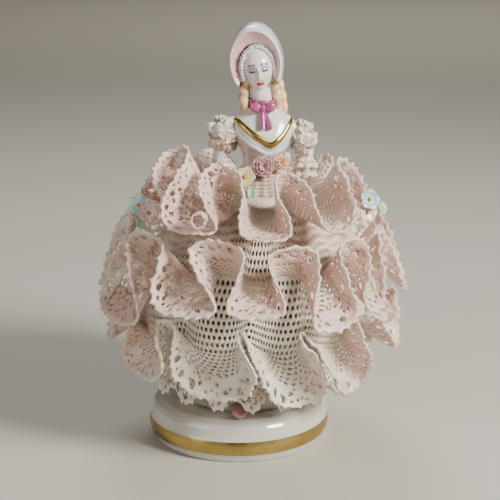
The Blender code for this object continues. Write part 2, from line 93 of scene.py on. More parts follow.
def mappedGrid(columns, rows, place, tint=None):
    # a flat grid, each point moved to where place says; u runs along, v across
    shape = bmesh.new()
    bmesh.ops.create_grid(shape, x_segments=columns, y_segments=rows, size=0.5)
    layer = shape.verts.layers.float.new("tint")
    for vertex in shape.verts:
        u, v = vertex.co.x + 0.5, vertex.co.y + 0.5
        vertex.co = place(u, v)
        vertex[layer] = tint(u, v) if tint else 0.0
    return shape


def joined(shapes):
    whole = bmesh.new()
    for shape in shapes:
        mesh = bpy.data.meshes.new("part")
        shape.to_mesh(mesh)
        shape.free()
        whole.from_mesh(mesh)
        bpy.data.meshes.remove(mesh)
    return whole


def finishPiece(name, shape, looks, nodes, slot, wall=0.0, offset=0.0, lining=0):
    bmesh.ops.remove_doubles(shape, verts=shape.verts, dist=0.003)
    bmesh.ops.recalc_face_normals(shape, faces=shape.faces)
    bmesh.ops.scale(shape, vec=(mm, mm, mm), verts=shape.verts)
    mesh = bpy.data.meshes.new(name)
    shape.to_mesh(mesh)
    shape.free()
    mesh.shade_smooth()
    for look in looks:
        mesh.materials.append(look)
    piece = bpy.data.objects.new(name, mesh)
    bpy.context.collection.objects.link(piece)
    if wall:
        change = piece.modifiers.new("wall", "SOLIDIFY")
        change.thickness = wall * mm
        change.offset = offset
        change.material_offset = lining
    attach(piece, "root")
    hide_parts(*nodes)
    return piece


def addNode(material, kind, values=None, links=None, **settings):
    node = material.node_tree.nodes.new(kind)
    for key, value in settings.items():
        setattr(node, key, value)
    for socket, value in (values or {}).items():
        node.inputs[socket].default_value = value
    for socket, source in (links or {}).items():
        material.node_tree.links.new(source, node.inputs[socket])
    return node


# Materials

glazes = {
    # hard porcelain under a clear feldspar glaze, white with a faint warm grey
    "whiteGlaze": {"colour": "#ebe8e0", "shade": "#dedad0", "patch": 8.0, "roughness": 0.1, "coat": 0.5,
                   "grain": 1.6, "relief": 0.02},
    # the same glaze on the turned base, a little greyer in its rings
    "baseGlaze": {"colour": "#cccbc1", "shade": "#bebcb1", "patch": 14.0, "roughness": 0.1, "coat": 0.6,
                  "grain": 3.0, "relief": 0.03},
    # lace soaked in slip and fired: a duller coat, with threads that show as grain, drawn coarser
    # than the 0.3 mm of the real threads so that it shows
    "laceGlaze": {"colour": "#ebe7da", "shade": "#dfd9c9", "patch": 5.0, "roughness": 0.42, "coat": 0.15,
                  "grain": 0.8, "relief": 0.42, "tint": "#dfbcae"},
    # the net underskirt: cream threads kept darker than the lace as painted shade, so that the ground
    # recedes; its dark tint is painted shade in the pits of the net and under the headings
    "netGlaze": {"colour": "#d9d2c0", "shade": "#c9c0ab", "patch": 6.0, "roughness": 0.45, "coat": 0.1,
                 "grain": 0.8, "relief": 0.3, "tint": "#5d5043"},
    # pearl lustre over the glaze
    "pearlGlaze": {"colour": "#e3ebee", "shade": "#d3dde4", "patch": 6.0, "roughness": 0.14, "coat": 0.6,
                   "grain": 1.6, "relief": 0.02, "tint": "#ecd3d6"},
    "pinkGlaze": {"colour": "#dcb6bb", "shade": "#cfa3aa", "patch": 1.6, "roughness": 0.2, "coat": 0.4,
                  "grain": 0.9, "relief": 0.06, "tint": "#e9dcde"},
    # china paint fired on the glaze, each a thin glossy colour
    # the hair's tint is painted shade in the grooves of the curls and down the outer side of each ringlet; the tips
    # are darker too
    "hairGlaze": {"colour": "#efdcba", "shade": "#e3c698", "patch": 2.0, "roughness": 0.22, "coat": 0.4,
                  "grain": 0.7, "relief": 0.04, "tint": "#b9783f"},
    # the ribbon's tint is painted shade where the loops of the bow pinch into the knot
    "ribbonGlaze": {"colour": "#b0588a", "shade": "#984373", "patch": 2.5, "roughness": 0.14, "coat": 0.6,
                    "grain": 1.2, "relief": 0.02, "tint": "#7c2f5c"},
    "mauveGlaze": {"colour": "#c9a5a8", "shade": "#b08a8e", "patch": 2.5, "roughness": 0.22, "coat": 0.35,
                   "grain": 0.9, "relief": 0.03, "tint": "#8e5060"},
    "peachGlaze": {"colour": "#edc8ab", "shade": "#e0ad8b", "patch": 2.5, "roughness": 0.22, "coat": 0.35,
                   "grain": 0.9, "relief": 0.03, "tint": "#c98263"},
    "yellowGlaze": {"colour": "#efe6c9", "shade": "#e6d7a8", "patch": 3.0, "roughness": 0.22, "coat": 0.35,
                    "grain": 0.9, "relief": 0.03, "tint": "#e3b04c"},
    "orangeGlaze": {"colour": "#cf9a4c", "shade": "#ae6c2c", "patch": 1.0, "roughness": 0.25, "coat": 0.3,
                    "grain": 0.6, "relief": 0.04},
    "blueGlaze": {"colour": "#b2cfcc", "shade": "#9cbdc0", "patch": 3.0, "roughness": 0.22, "coat": 0.35,
                  "grain": 0.9, "relief": 0.03, "tint": "#e9e2d8"},
    "roseGlaze": {"colour": "#e6c8c2", "shade": "#d8b0ab", "patch": 3.0, "roughness": 0.22, "coat": 0.35,
                  "grain": 0.9, "relief": 0.03, "tint": "#f0e0d2"},
    "leafGlaze": {"colour": "#a3cfa4", "shade": "#79b083", "patch": 2.0, "roughness": 0.22, "coat": 0.35,
                  "grain": 0.8, "relief": 0.04, "tint": "#cfe3c0"},
    "shoeGlaze": {"colour": "#bf8d97", "shade": "#a9727e", "patch": 3.0, "roughness": 0.15, "coat": 0.5,
                  "grain": 1.2, "relief": 0.02},
}


def glazed(name, paints=()):
    settings = glazes[name]
    material = bpy.data.materials.new(name if not paints else name + "Painted")
    material.use_nodes = True
    shader = material.node_tree.nodes["Principled BSDF"]
    place = addNode(material, "ShaderNodeTexCoord").outputs["Object"]
    patches = addNode(material, "ShaderNodeTexNoise", {"Scale": 1 / (settings["patch"] * mm), "Detail": 3.0},
                      {"Vector": place})
    spread = addNode(material, "ShaderNodeMapRange", {"From Min": 0.35, "From Max": 0.65},
                     {"Value": patches.outputs["Fac"]})
    colour = addNode(material, "ShaderNodeMix",
                     {6: hexColour(settings["colour"]), 7: hexColour(settings["shade"])},
                     {0: spread.outputs["Result"]}, data_type="RGBA").outputs[2]
    layers = list(paints)
    if "tint" in settings:
        layers.insert(0, ("tint", settings["tint"]))
    for attribute, paint in layers:
        mask = addNode(material, "ShaderNodeAttribute", attribute_name=attribute).outputs["Fac"]
        colour = addNode(material, "ShaderNodeMix", {7: hexColour(paint)}, {0: mask, 6: colour},
                         data_type="RGBA").outputs[2]
    material.node_tree.links.new(colour, shader.inputs["Base Color"])
    grain = addNode(material, "ShaderNodeTexNoise", {"Scale": 1 / (settings["grain"] * mm), "Detail": 2.0},
                    {"Vector": place})
    bump = addNode(material, "ShaderNodeBump", {"Strength": 1.0, "Distance": settings["relief"] * mm},
                   {"Height": grain.outputs["Fac"]})
    material.node_tree.links.new(bump.outputs["Normal"], shader.inputs["Normal"])
    shader.inputs["Roughness"].default_value = settings["roughness"]
    shader.inputs["Coat Weight"].default_value = settings["coat"]
    shader.inputs["Coat Roughness"].default_value = 0.06
    return material


gildingSettings = {"gold": "#c8b06a", "goldShade": "#9f8951", "under": "#9c8a66", "wear": 0.36,
                   "roughness": 0.26, "streak": 6.0, "grain": 0.7, "relief": 0.02}


def gilded():
    # fired bright gold, satin, brushed on by hand: brush streaks, thin spots and rubbed grains
    g = gildingSettings
    material = bpy.data.materials.new("brightGold")
    material.use_nodes = True
    shader = material.node_tree.nodes["Principled BSDF"]
    place = addNode(material, "ShaderNodeTexCoord").outputs["Object"]
    streaks = addNode(material, "ShaderNodeTexNoise", {"Scale": 1 / (g["streak"] * mm), "Detail": 6.0},
                      {"Vector": place})
    gold = addNode(material, "ShaderNodeMix", {6: hexColour(g["goldShade"]), 7: hexColour(g["gold"])},
                   {0: streaks.outputs["Fac"]}, data_type="RGBA").outputs[2]
    grains = addNode(material, "ShaderNodeTexNoise", {"Scale": 1 / (g["grain"] * mm), "Detail": 4.0},
                     {"Vector": place})
    worn = addNode(material, "ShaderNodeMapRange", {"From Min": g["wear"], "From Max": g["wear"] - 0.06},
                   {"Value": grains.outputs["Fac"]})
    colour = addNode(material, "ShaderNodeMix", {7: hexColour(g["under"])},
                     {0: worn.outputs["Result"], 6: gold}, data_type="RGBA").outputs[2]
    metal = addNode(material, "ShaderNodeMath", {0: 1.0, 1: 0.0}, {1: worn.outputs["Result"]},
                    operation="SUBTRACT")
    rough = addNode(material, "ShaderNodeMapRange",
                    {"To Min": g["roughness"] - 0.08, "To Max": g["roughness"] + 0.14},
                    {"Value": streaks.outputs["Fac"]})
    bump = addNode(material, "ShaderNodeBump", {"Strength": 1.0, "Distance": g["relief"] * mm},
                   {"Height": grains.outputs["Fac"]})
    for socket, source in (("Base Color", colour), ("Metallic", metal.outputs[0]),
                           ("Roughness", rough.outputs["Result"]), ("Normal", bump.outputs["Normal"])):
        material.node_tree.links.new(source, shader.inputs[socket])
    return material


facePaints = (("cheekPaint", "#e7b6a8"), ("lidPaint", "#7590ac"), ("lashPaint", "#20242e"),
              ("browPaint", "#4c3a31"), ("lipPaint", "#b63a2c"))
looks = {name: glazed(name) for name in glazes}
looks["gold"] = gilded()
faceGlaze = glazed("whiteGlaze", facePaints)
# the net with its rosy colour, darkened in part as painted shade, and a second dark tint of painted shade over the
# first
netGlaze = glazed("netGlaze", (("rosyPaintAndShade", "#b89586"), ("tint", "#54463b")))
# the bodice paint is the mauve of the bodice together with painted shade under the bertha's edge
bodiceGlaze = glazed("whiteGlaze", (("bodicePaintAndShade", "#a8918a"), ("pearlPaint", "#d5dedd")))
print("materials made:", len(bpy.data.materials))


# The turned base

baseSettings = {
    "footRadius": 30.9, "bandRadius": 32.2, "bandLow": 3.0, "bandHigh": 8.0, "shoulderRadius": 31.4,
    "shoulderHeight": 11.2, "seatRadius": 23.0, "seatHeight": 15.2, "sides": 180,
}


def makeBase():
    b = baseSettings
    foot, band, seat = b["footRadius"], b["bandRadius"], b["seatRadius"]
    outline = [(0.01, 0.0), (foot - 1.4, 0.0), (foot - 0.4, 0.12), (foot, 0.6), (foot + 0.25, 1.5),
               (band - 0.5, 2.6), (band - 0.25, b["bandLow"])]
    for step in range(1, 8):
        t = step / 8
        swell = 0.5 * math.sin(math.pi * t) + 0.1 * t
        outline.append((band - 0.25 + swell, mix(b["bandLow"], b["bandHigh"], t)))
    outline += [(band - 0.1, b["bandHigh"]), (band - 0.35, 8.6), (band - 0.55, 9.6)]
    across = b["shoulderRadius"] - seat
    rise = b["seatHeight"] - b["shoulderHeight"]
    for step in range(17):
        turn = math.pi / 2 * step / 16
        ring = 0.09 * math.sin(step * 1.3)  # the faint rings of turning
        height = b["shoulderHeight"] + rise * math.sin(turn) + ring
        outline.append((seat + across * math.cos(turn) ** 0.75, height))
    outline += [(seat - 6, b["seatHeight"] + 0.02), (0.01, b["seatHeight"] + 0.03)]
    shape = bmesh.new()
    points = [shape.verts.new((radius, 0, height)) for radius, height in outline]
    edges = [shape.edges.new(pair) for pair in zip(points, points[1:])]
    bmesh.ops.spin(shape, geom=points + edges, cent=(0, 0, 0), axis=(0, 0, 1), angle=2 * math.pi,
                   steps=b["sides"], use_merge=True)
    bmesh.ops.remove_doubles(shape, verts=shape.verts, dist=0.02)
    for face in shape.faces:
        middle = face.calc_center_median()
        face.material_index = 1 if b["bandLow"] < middle.z < b["bandHigh"] and middle.xy.length > 28 else 0
    finishPiece("turnedBase", shape, [looks["baseGlaze"], looks["gold"]], ["base"], "glazed_white")


makeBase()
print("base made")


# The lace flounces

bodySections = ((15.5, 22.0), (20, 24.4), (25, 26.8), (31, 31.2), (38, 36.0), (46, 39.4), (54, 40.4),
                (62, 39.4), (70, 36.2), (77, 31.4), (83, 24.8), (88, 17.6), (94, 11.4), (97.4, 8.4), (100, 7.3))
formSettings = {"footX": 1.5, "waistX": 8.8, "waistHeight": 100.0, "axisX": 4.9}
dressSettings = {"centre": 58.4, "radius": 54.6, "up": 52.0, "down": 48.5, "power": 2.5}


def formAxis(height):
    low = bodySections[0][0]
    share = min(max((height - low) / (formSettings["waistHeight"] - low), 0), 1)
    return mix(formSettings["footX"], formSettings["waistX"], share)


def formRadius(height):
    for low, high in zip(bodySections, bodySections[1:]):
        if height <= high[0]:
            return mix(low[1], high[1], (height - low[0]) / (high[0] - low[0]))
    return bodySections[-1][1]


def dressRadius(height):
    d = dressSettings
    rise = height - d["centre"]
    if rise > 0:
        return d["radius"] * math.sqrt(max(1 - (rise / d["up"]) ** d["power"], 0))
    return d["radius"] * math.sqrt(max(1 - (rise / d["down"]) ** 2, 0))


def ballOutline(height, azimuth):
    return dressRadius(height)


def hemOutline(height, azimuth):
    return 31.0 + 8.0 * math.sin(math.radians(azimuth - 10) / 2) ** 2


def withBack(front, crest, trough, steps):
    # turning points: azimuth, height, reach of the curl, how far proud; even waves close the back
    first, last = front[0], front[-1]
    span = first[0] + 360 - last[0]
    lastIsCrest = last[1] > front[-2][1]
    turns = list(front)
    for step in range(1, steps):
        height, push = crest if lastIsCrest == (step % 2 == 0) else trough
        turns.append((last[0] + span * step / steps, height, 1.1 * span / steps, push))
    return turns


# gather is how much of the folds is left where the cloth joins the form, and heading how far the
# cloth goes on up the form from there; cell is the size of a cell of the lace in which holes are
# counted; pink is how rosy the border is, headingPink the same for the heading, and pale names
# arcs (azimuth, half width, how much less rosy)
flounces = {
    "upper": {
        "turns": withBack([(-56, 90.5, 38, -3), (-60, 108, 40, 8), (-24, 85.5, 33, 1), (-21, 104.5, 33, 0),
                           (5, 84, 25, 1), (19, 102.5, 21, 0), (35, 85, 17, 1), (60, 104.5, 19, 6),
                           (70, 90, 12, -3)],
                          (98.5, -4), (87, -8), 12),
        "joint": 86.0, "gather": 0.2, "clearance": 1.6, "heading": 4.5, "headingPink": 0.6,
        "outline": ballOutline, "cell": 0.56,
        "pink": 0.95, "pale": (), "seed": 3,
    },
    "middle": {
        "turns": withBack([(-74, 84, 24, -6), (-57, 51, 40, 2), (-48, 83.5, 30, -2), (-23, 59, 33, 2),
                           (-15, 83.5, 31, -3), (1, 60, 27, 2), (15.5, 81.5, 27, -3), (30, 53, 25, 1),
                           (43, 81.5, 22, -3), (47, 57, 16, 1), (68, 80, 14, -4)], (80, -5), (56, 0), 14),
        "joint": 68.0, "gather": 0.2, "clearance": 1.0, "heading": 19.0, "headingPink": 0.6,
        "outline": ballOutline, "cell": 0.72, "pink": 0.9,
        "pale": ((-88, 20, 0.6),), "seed": 5,
    },
    "lower": {
        "turns": withBack([(-84, 37, 14, 3), (-60, 50.5, 18, -3), (-55, 30, 34, 3), (-34, 56.5, 14, -3),
                           (-16, 26, 36, 1), (-5, 55, 7, -3), (26, 21, 28, 1), (17, 54, 6, -3),
                           (56, 23, 22, 4), (46, 55, 16, -3), (78, 36, 14, 4)], (53, -3), (29, 2), 12),
        "joint": 44.0, "gather": 0.28, "clearance": 1.0, "heading": 26.0, "headingPink": 0.0,
        "outline": ballOutline, "cell": 0.61, "pink": 0.8,
        "pale": ((-8, 52, 0.85),), "seed": 8,
    },
    "hem": {
        "turns": [(360 * step / 32, 22.5 if step % 2 else 18.6, 7, 0) for step in range(32)],
        "joint": 27.0, "gather": 0.2, "clearance": 1.0, "heading": 3.0, "headingPink": 0.0,
        "outline": hemOutline, "cell": 0.52, "pink": 0.15,
        "pale": (), "seed": 11,
    },
}
# tooth is the width of a tooth of the edge in cells
laceSettings = {"wall": 0.75, "borderDepth": 9.0, "innerPitch": 0.72, "headingPitch": 0.8,
                "solidRows": 1, "tooth": 5, "toothHeight": 1.5}


def edgePoint(turns, place):
    index = math.floor(place)
    t = place - index
    count = len(turns)
    start, end = turns[index % count], turns[(index + 1) % count]
    startAzimuth = start[0] + 360 * (index // count)
    endAzimuth = end[0] + 360 * ((index + 1) // count)
    early = (1 - t) ** 3 + 3 * t * (1 - t) ** 2
    late = 1 - early
    azimuth = startAzimuth * early + endAzimuth * late
    azimuth += start[2] * 3 * t * (1 - t) ** 2 - end[2] * 3 * t * t * (1 - t)
    return azimuth, start[1] * early + end[1] * late, start[3] * early + end[3] * late


def jointAzimuth(turns, place):
    index = math.floor(place)
    count = len(turns)

    def evened(number):
        near = [turns[k % count][0] + 360 * (k // count) for k in (number - 1, number, number + 1)]
        return (near[0] + 2 * near[1] + near[2]) / 4

    return mix(evened(index), evened(index + 1), place - index)


def sweep(f, facts, out):
    # a point of the flounce: facts of its line of cloth, and out from the form (0) to the edge (1);
    # below 0 the gathered heading of the cloth lies up against the form
    edgeAzimuth, edgeHeight, push, startAzimuth = facts
    azimuth = math.radians(mix(startAzimuth, edgeAzimuth, mix(f["gather"], 1.0, max(out, 0.0))))
    startHeight = f["joint"] + f["gather"] * 0.5 * (edgeHeight - f["middle"])
    if out < 0:
        height = mix(startHeight, f["joint"] + f["heading"], -out)
        radius = formRadius(height) + mix(f["clearance"], 0.1, min(-1.4 * out, 1.0))
        return Vector((formAxis(height) + radius * math.sin(azimuth), -radius * math.cos(azimuth), height))
    startRadius = formRadius(startHeight) + f["clearance"]
    edgeRadius = f["outline"](edgeHeight, edgeAzimuth) + push
    radius = mix(startRadius, edgeRadius, out)
    axis = mix(formAxis(startHeight), formSettings["axisX"], out)
    return Vector((axis + radius * math.sin(azimuth), -radius * math.cos(azimuth), mix(startHeight, edgeHeight, out)))


def evenLines(f):
    # lines of cloth at even steps along the free edge, a multiple of 240 of them
    turns = f["turns"]
    heights = [turn[1] for turn in turns]
    f["middle"] = (max(heights) + min(heights)) / 2
    fine = [i / 48 for i in range(len(turns) * 48 + 1)]
    facts = [(*edgePoint(turns, place), jointAzimuth(turns, place)) for place in fine]
    points = [sweep(f, fact, 1.0) for fact in facts]
    run = [0.0]
    for a, b in zip(points, points[1:]):
        run.append(run[-1] + (b - a).length)
    count = 240 * max(round(run[-1] / f["cell"] / 240), 1)
    lines = []
    for column in range(count + 1):
        want = run[-1] * column / count
        i = min(max(bisect.bisect_left(run, want), 1), len(run) - 1)
        t = (want - run[i - 1]) / (run[i] - run[i - 1])
        fact = [mix(a, b, t) for a, b in zip(facts[i - 1], facts[i])]
        turn = min((i - 1) // 48, len(turns) - 1)
        share = (want - run[turn * 48]) / (run[turn * 48 + 48] - run[turn * 48])
        fact[3] = mix(fact[3], mix(facts[turn * 48][3], facts[turn * 48 + 48][3], share), 0.75)
        lines.append(tuple(fact))
    return lines


smallSpots = ((1.5, 6.5), (8.5, 7.5), (2.5, 11.5), (7.5, 10.5), (5.5, 12.5), (3.5, 14.5), (8.5, 14.5))


def laceHoles(f, columns, halfRow, lastRow):
    # openings as ellipses: column, row, half width, half height, all in cells
    chance = random.Random(f["seed"])
    holes = []
    for motif in range(0, columns, 10):
        c = motif + 5 + chance.uniform(-0.6, 0.6)
        if chance.random() < 0.8:
            holes.append((c, 5.6 + chance.uniform(-0.5, 0.5), chance.uniform(1.5, 2.6),
                          chance.uniform(1.5, 2.5)))
        else:
            holes += [(motif + 4, 5, 1.05, 1.05), (motif + 7, 6, 1.05, 1.05)]
        if chance.random() < 0.7:
            holes.append((motif, 4, 1.0, 1.0))
        if chance.random() < 0.65:
            holes.append((motif + chance.uniform(-0.7, 0.7), 9.5, chance.uniform(1.1, 2.1),
                          chance.uniform(1.1, 1.9)))
        for spot in smallSpots:
            if chance.random() < 0.6:
                size = 0.62 if chance.random() < 0.5 else 1.05
                shift = 0.0 if size < 1 else 0.5
                holes.append((motif + spot[0] + shift, spot[1] + shift, size, size))
    row, number = halfRow + 1, 0
    while row < lastRow - 1:
        for column in range(2 * (number % 3), columns + 2, 6):
            holes.append((column, row, 2.04, 1.02))
        row += 3
        number += 1
    return holes


def makeFlounce(name):
    f = flounces[name]
    s = laceSettings
    lines = evenLines(f)
    columns = len(lines) - 1
    steps = 24
    runs = []
    for line in lines:
        run = [0.0]
        points = [sweep(f, line, 1 - k / steps) for k in range(steps + 1)]
        for a, b in zip(points, points[1:]):
            run.append(run[-1] + (b - a).length)
        runs.append(run)
    cell = f["cell"]
    border = min(s["borderDepth"], min(run[-1] for run in runs) - 1.0)
    halfRow = round(border / cell)
    inner = max(round((max(run[-1] for run in runs) - border) / s["innerPitch"]), 6)
    headingRows = round(f["heading"] / s["headingPitch"])
    rows = halfRow + inner + headingRows
    shape = bmesh.new()
    bmesh.ops.create_grid(shape, x_segments=columns, y_segments=rows, size=0.5)
    for vertex in shape.verts:
        vertex.co = (round((vertex.co.x + 0.5) * columns), round((vertex.co.y + 0.5) * rows), 0)
    drop = []
    for edge in shape.edges:
        a, b = edge.verts[0].co, edge.verts[1].co
        if a.x == b.x and 0 < a.x < columns:
            if min(a.y, b.y) >= halfRow and a.x % 2:
                drop.append(edge)
    bmesh.ops.dissolve_edges(shape, edges=drop, use_verts=True, use_face_split=False)
    holes = laceHoles(f, columns, halfRow, rows - s["solidRows"])
    nearby = {}
    for hole in holes:
        for c in range(math.floor(hole[0] - hole[2]) - 1, math.ceil(hole[0] + hole[2]) + 2):
            for r in range(math.floor(hole[1] - hole[3]) - 1, math.ceil(hole[1] + hole[3]) + 2):
                nearby.setdefault((c % columns, r), []).append(hole)

    def nearestHole(c, r, limit):
        best = None
        for hole in nearby.get((math.floor(c) % columns, math.floor(r)), ()):
            across = (c - hole[0] + columns / 2) % columns - columns / 2
            reach = math.hypot(across / hole[2], (r - hole[1]) / hole[3])
            if reach < limit and (best is None or reach < best[0]):
                best = (reach, across, r - hole[1])
        return best

    gone = []
    for face in shape.faces:
        middle = face.calc_center_bounds()
        if nearestHole(middle.x, middle.y, 1.0):
            gone.append(face)
    bmesh.ops.delete(shape, geom=gone, context="FACES")
    for vertex in shape.verts:
        c, r = vertex.co.x, vertex.co.y
        if vertex.is_boundary and 0 < r < rows:
            near = nearestHole(c, r, 1.6)
            if near and near[0] > 0.4:
                vertex.co.x = c + near[1] / near[0] - near[1]
                vertex.co.y = r + near[2] / near[0] - near[2]

    def outAt(column, depth):
        run = runs[column]
        k = min(max(bisect.bisect_left(run, depth), 1), steps)
        return 1 - (k - 1 + (depth - run[k - 1]) / (run[k] - run[k - 1])) / steps

    layer = shape.verts.layers.float.new("tint")
    for vertex in shape.verts:
        c, r = vertex.co.x % columns, vertex.co.y
        i = int(c)
        j = min(i + 1, columns)
        facts = tuple(mix(a, b, c - i) for a, b in zip(lines[i], lines[j]))
        depth = min(r, halfRow) * cell
        if r > halfRow:
            depth = mix(halfRow * cell, mix(runs[i][-1], runs[j][-1], c - i), min((r - halfRow) / inner, 1.0))
        out = mix(outAt(i, depth), outAt(j, depth), c - i)
        if r > halfRow + inner:
            out = (halfRow + inner - r) / headingRows
        point = sweep(f, facts, min(out, 1.0))
        near = ease(14.0, 0.0, depth)
        if r < 3:
            wave = c + 1.2 * noise.noise(Vector((c * 0.05, f["seed"], 0)))
            tooth = abs(math.sin(math.pi * wave / s["tooth"])) ** 0.8
            tall = s["toothHeight"] * (0.75 + 0.6 * noise.noise(Vector((c * 0.11, f["seed"], 5))))
            outward = (sweep(f, facts, 1.0) - sweep(f, facts, 0.93)).normalized()
            point += outward * tall * (0.35 - tooth) * (1 - r / 3)
        swirl = noise.noise_vector(point * 0.2 + Vector((f["seed"], 0, 0)))
        point += swirl * 0.9 * near + noise.noise_vector(point * 0.75) * 0.3 * near
        vertex.co = point
        rosy = ease(24.0, 8.0, depth)
        if r > halfRow + inner:
            rosy = max(rosy, f["headingPink"])
        blush = f["pink"] * rosy * (0.6 + 0.4 * ease(0.3, 1.8, depth))
        blush *= 0.85 + 0.7 * noise.noise(point * 0.11 + Vector((0, f["seed"], 0)))
        for azimuth, halfWidth, less in f["pale"]:
            away = abs((facts[0] - azimuth + 180) % 360 - 180)
            blush *= 1 - less * ease(halfWidth, halfWidth * 0.5, away)
        vertex[layer] = max(blush, 0.0)
    finishPiece(name + "Flounce", shape, [looks["laceGlaze"]], [name + "_flounce"], "lace_bisque", s["wall"])
    print("%s flounce: %d lines of cloth, %d rows, %d openings" % (name, columns, rows, len(holes)))


for name in flounces:
    makeFlounce(name)


# The figure under the lace: skirt form, bodice, arms, neck, head and hair

torsoSections = ((90.0, 14.6, 14.6), (94.0, 11.4, 11.4), (97.4, 8.4, 8.0), (100.0, 7.3, 6.5),
                 (104.0, 8.0, 7.2), (108.0, 9.7, 7.9), (111.0, 10.8, 7.6), (113.5, 10.9, 6.7),
                 (115.4, 9.9, 5.8), (116.9, 8.4, 5.0), (118.0, 6.4, 4.4), (119.2, 4.6, 3.9),
                 (121.0, 3.6, 3.5), (124.0, 3.35, 3.35), (129.0, 3.4, 3.4))


def torsoAxis(height):
    # straight up to the shoulders, then the neck leans to the head
    share = max(height - 116.0, 0) / 12.0
    return formAxis(height) - 1.15 * share, -0.2 * share


def torsoFront(x, height):
    # how far forward the front of the bodice stands at a place across and a height
    halfX, halfY = atHeight(torsoSections, height)
    axisX, axisY = torsoAxis(height)
    across = (x - axisX) / halfX
    swell = 0.9 * sum(hill(x, height, axisX + side * 4.2, 108.6, 3.2, 3.4) for side in (-1, 1))
    return axisY - halfY * math.sqrt(max(1 - across * across, 0.0)) - swell


neckline = ((-0.9, 115.4), (4.1, 111.6), (8.0, 109.0), (11.1, 107.2), (13.4, 108.4), (15.5, 110.4),
            (18.5, 115.1))
berthaLow = ((0.7, 109.4), (4.1, 106.7), (6.9, 105.0), (9.9, 103.5), (13.2, 104.0), (16.7, 105.4),
             (19.0, 107.9))


def lineHeight(line, x):
    for a, b in zip(line, line[1:]):
        if x <= b[0]:
            return mix(a[1], b[1], (x - a[0]) / (b[0] - a[0]))
    return line[-1][1]


def makeTorso():
    def place(u, v):
        height = mix(97.0, 129.0, v)
        halfX, halfY = atHeight(torsoSections, height)
        axisX, axisY = torsoAxis(height)
        turn = 2 * math.pi * u
        x = axisX + halfX * math.sin(turn)
        y = axisY - halfY * math.cos(turn)
        if y < axisY:
            y = torsoFront(x, height)
        return Vector((x, y, height))

    shape = mappedGrid(96, 112, place)
    bodice = shape.verts.layers.float.new("bodicePaintAndShade")
    pearl = shape.verts.layers.float.new("pearlPaint")
    for vertex in shape.verts:
        x, y, z = vertex.co
        below = lineHeight(berthaLow, x) - z
        if y > 1.5:
            below = 109.0 - z
        # the mauve of the bodice with painted shade: darkest just under the bertha's edge, lighter lower down
        vertex[bodice] = 0.85 * ease(-0.15, 0.25, below) * (1 - 0.55 * ease(3.0, 9.0, below))
        vertex[pearl] = 0.8 * ease(-0.2, 0.2, lineHeight(neckline, x) - z) * (1 - ease(-0.15, 0.25, below))
    finishPiece("bodiceAndNeck", shape, [bodiceGlaze], ["figure"], "glazed_white")

    def strip(line, halfWidth, rise, low):
        def stripPlace(u, v):
            x, z = smoothLine(line, u)
            z += (v - 0.5) * 2 * halfWidth - low
            height = rise * math.sqrt(max(1 - (2 * v - 1) ** 2, 0.0))
            return Vector((x, torsoFront(x, z) - height + 0.12, z))
        return mappedGrid(120, 12, stripPlace)

    finishPiece("goldNeckBand", strip(neckline, 1.0, 0.42, 0.0), [looks["gold"]], ["figure"], "glazed_white",
                0.3, 1.0)
    finishPiece("berthaEdge", strip(berthaLow, 0.8, 0.4, -0.5), [looks["pearlGlaze"]], ["figure"],
                "glazed_white", 0.3, 1.0)


netSettings = {"pitch": 1.85, "low": 15.6, "high": 98.6, "columns": 132, "pit": 1.0, "pleats": 23,
               "pleatDepth": 1.5, "covered": ((46.5, 68.5), (70.5, 85.0)), "coveredStep": 1.5}


def makeSkirtForm():
    # the cast form with its net underskirt: a pit for each mesh of the net, in staggered rows, painted dark as
    # painted shade, and soft pleats that run down from the waist; it is plain where the headings cover it
    # and painted half dark there as the shade under them; higher up it turns a rosy colour, darkened in part
    # as painted shade
    n = netSettings

    def isCovered(height):
        return any(low < height < high for low, high in n["covered"])

    heights, height = [n["low"]], n["low"]
    while height < n["high"]:
        slope = (formRadius(height + 0.5) - formRadius(height)) / 0.5
        height += n["coveredStep"] if isCovered(height) else n["pitch"] * 0.82 / 3 / math.hypot(1, slope)
        heights.append(height)
    columns, rows = 3 * n["columns"], (len(heights) - 1) // 3 * 3
    shape = bmesh.new()
    bmesh.ops.create_grid(shape, x_segments=columns, y_segments=rows, size=0.5)
    netShade = shape.verts.layers.float.new("tint")
    rosy = shape.verts.layers.float.new("rosyPaintAndShade")
    for vertex in shape.verts:
        column, row = round((vertex.co.x + 0.5) * columns), round((vertex.co.y + 0.5) * rows)
        height = heights[row]
        radius = atHeight(bodySections, height)[0]
        covered = isCovered(height)
        isPit = row % 3 == 1 and column % 3 == 1 and not covered
        turn = 2 * math.pi * (column + 1.5 * (row // 3 % 2)) / columns
        wander = 1.4 * noise.noise(Vector((math.sin(turn), math.cos(turn), height * 0.03)) * 1.5)
        pleat = 0.5 + 0.5 * math.sin(n["pleats"] * turn + 3 * wander + 0.04 * height)
        radius -= n["pleatDepth"] * pleat * ease(18.0, 30.0, height) * ease(98.0, 84.0, height)
        radius -= n["pit"] if isPit else 0.0
        # painted shade: dark in the pits, half dark in the plain zones under the headings
        vertex[netShade] = 1.0 if isPit else 0.5 * covered
        # rosy colour higher up, darkened in part as painted shade so that the ground recedes
        vertex[rosy] = 0.4 * ease(52.0, 62.0, height + 6 * wander)
        vertex.co = Vector((formAxis(height) + radius * math.sin(turn), -radius * math.cos(turn), height))
    finishPiece("skirtForm", shape, [netGlaze], ["figure"], "lace_bisque")


